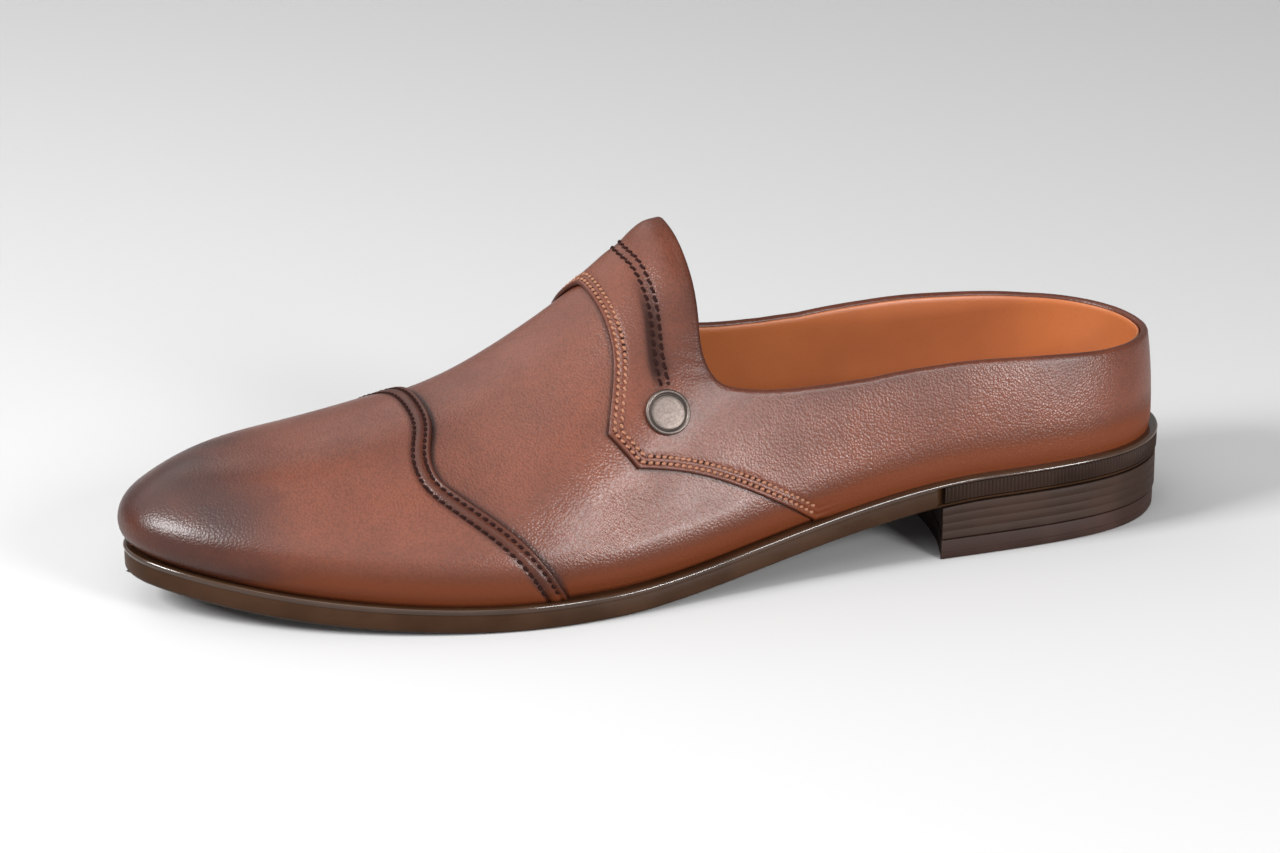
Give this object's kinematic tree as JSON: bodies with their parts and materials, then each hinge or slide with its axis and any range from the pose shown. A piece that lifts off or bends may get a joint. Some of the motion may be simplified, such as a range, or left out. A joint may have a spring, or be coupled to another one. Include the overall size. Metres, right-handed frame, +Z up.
{
  "type": "leather mule",
  "caption": "Left leather mule with a toe cap, a tongued quarter around an open collar, a cushioned sock, a moulded sole with ribbed heel seat and a low stacked heel.",
  "frame": {"origin": "on the floor, under the middle of the shoe's bounding box", "axes": "+X towards the toe, +Y towards the outer side of the foot, +Z up"},
  "size_m": [0.2913, 0.097, 0.091],
  "materials": {
    "vamp_leather": "satin, fine grain",
    "quarter_leather": "satin, burnished",
    "cap_leather": "satin, burnished dark at the toe",
    "sock_leather": "smooth, cushioned",
    "sole_rubber": "satin",
    "rand_rubber": "ribbed",
    "heel_stack": "satin, fine layer lines",
    "top_piece_rubber": "matte",
    "stud_metal": "antique nickel"
  },
  "bodies": {
    "root": {"upper": "vamp_leather", "quarter": "quarter_leather", "toe_cap": "cap_leather", "insole": "sock_leather", "outsole": "sole_rubber", "heel_rand": "rand_rubber", "heel_block": "heel_stack", "heel_top_piece": "top_piece_rubber", "stud": "stud_metal"}
  },
  "joints": []
}
